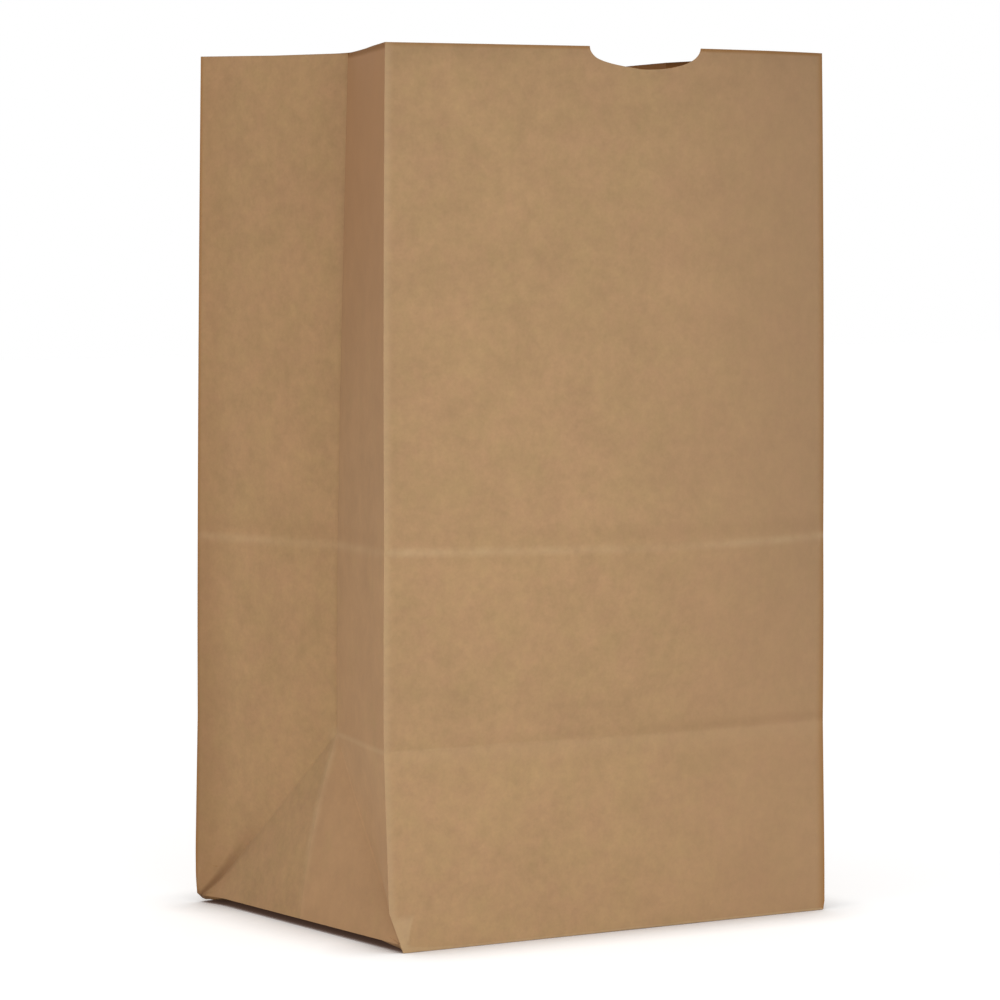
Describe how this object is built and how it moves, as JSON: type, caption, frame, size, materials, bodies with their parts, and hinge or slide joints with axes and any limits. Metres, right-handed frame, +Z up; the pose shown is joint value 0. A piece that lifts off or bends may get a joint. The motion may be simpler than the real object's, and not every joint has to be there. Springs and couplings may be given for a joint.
{
  "type": "open paper bag",
  "caption": "Open brown kraft paper bag with folded sides, a flat pasted base and a thumb notch cut in the front edge.",
  "frame": {"origin": "on the ground under the middle of the base, on the flat face of the outer base flap", "axes": "+Z up from the base to the open mouth, -Y towards the front panel with the thumb notch, +X to the right seen from the front"},
  "size_m": [0.2052, 0.1686, 0.34],
  "materials": {
    "kraft_paper": "unbleached kraft, matt"
  },
  "bodies": {
    "root": {"paper_bag": "kraft_paper"}
  },
  "joints": []
}
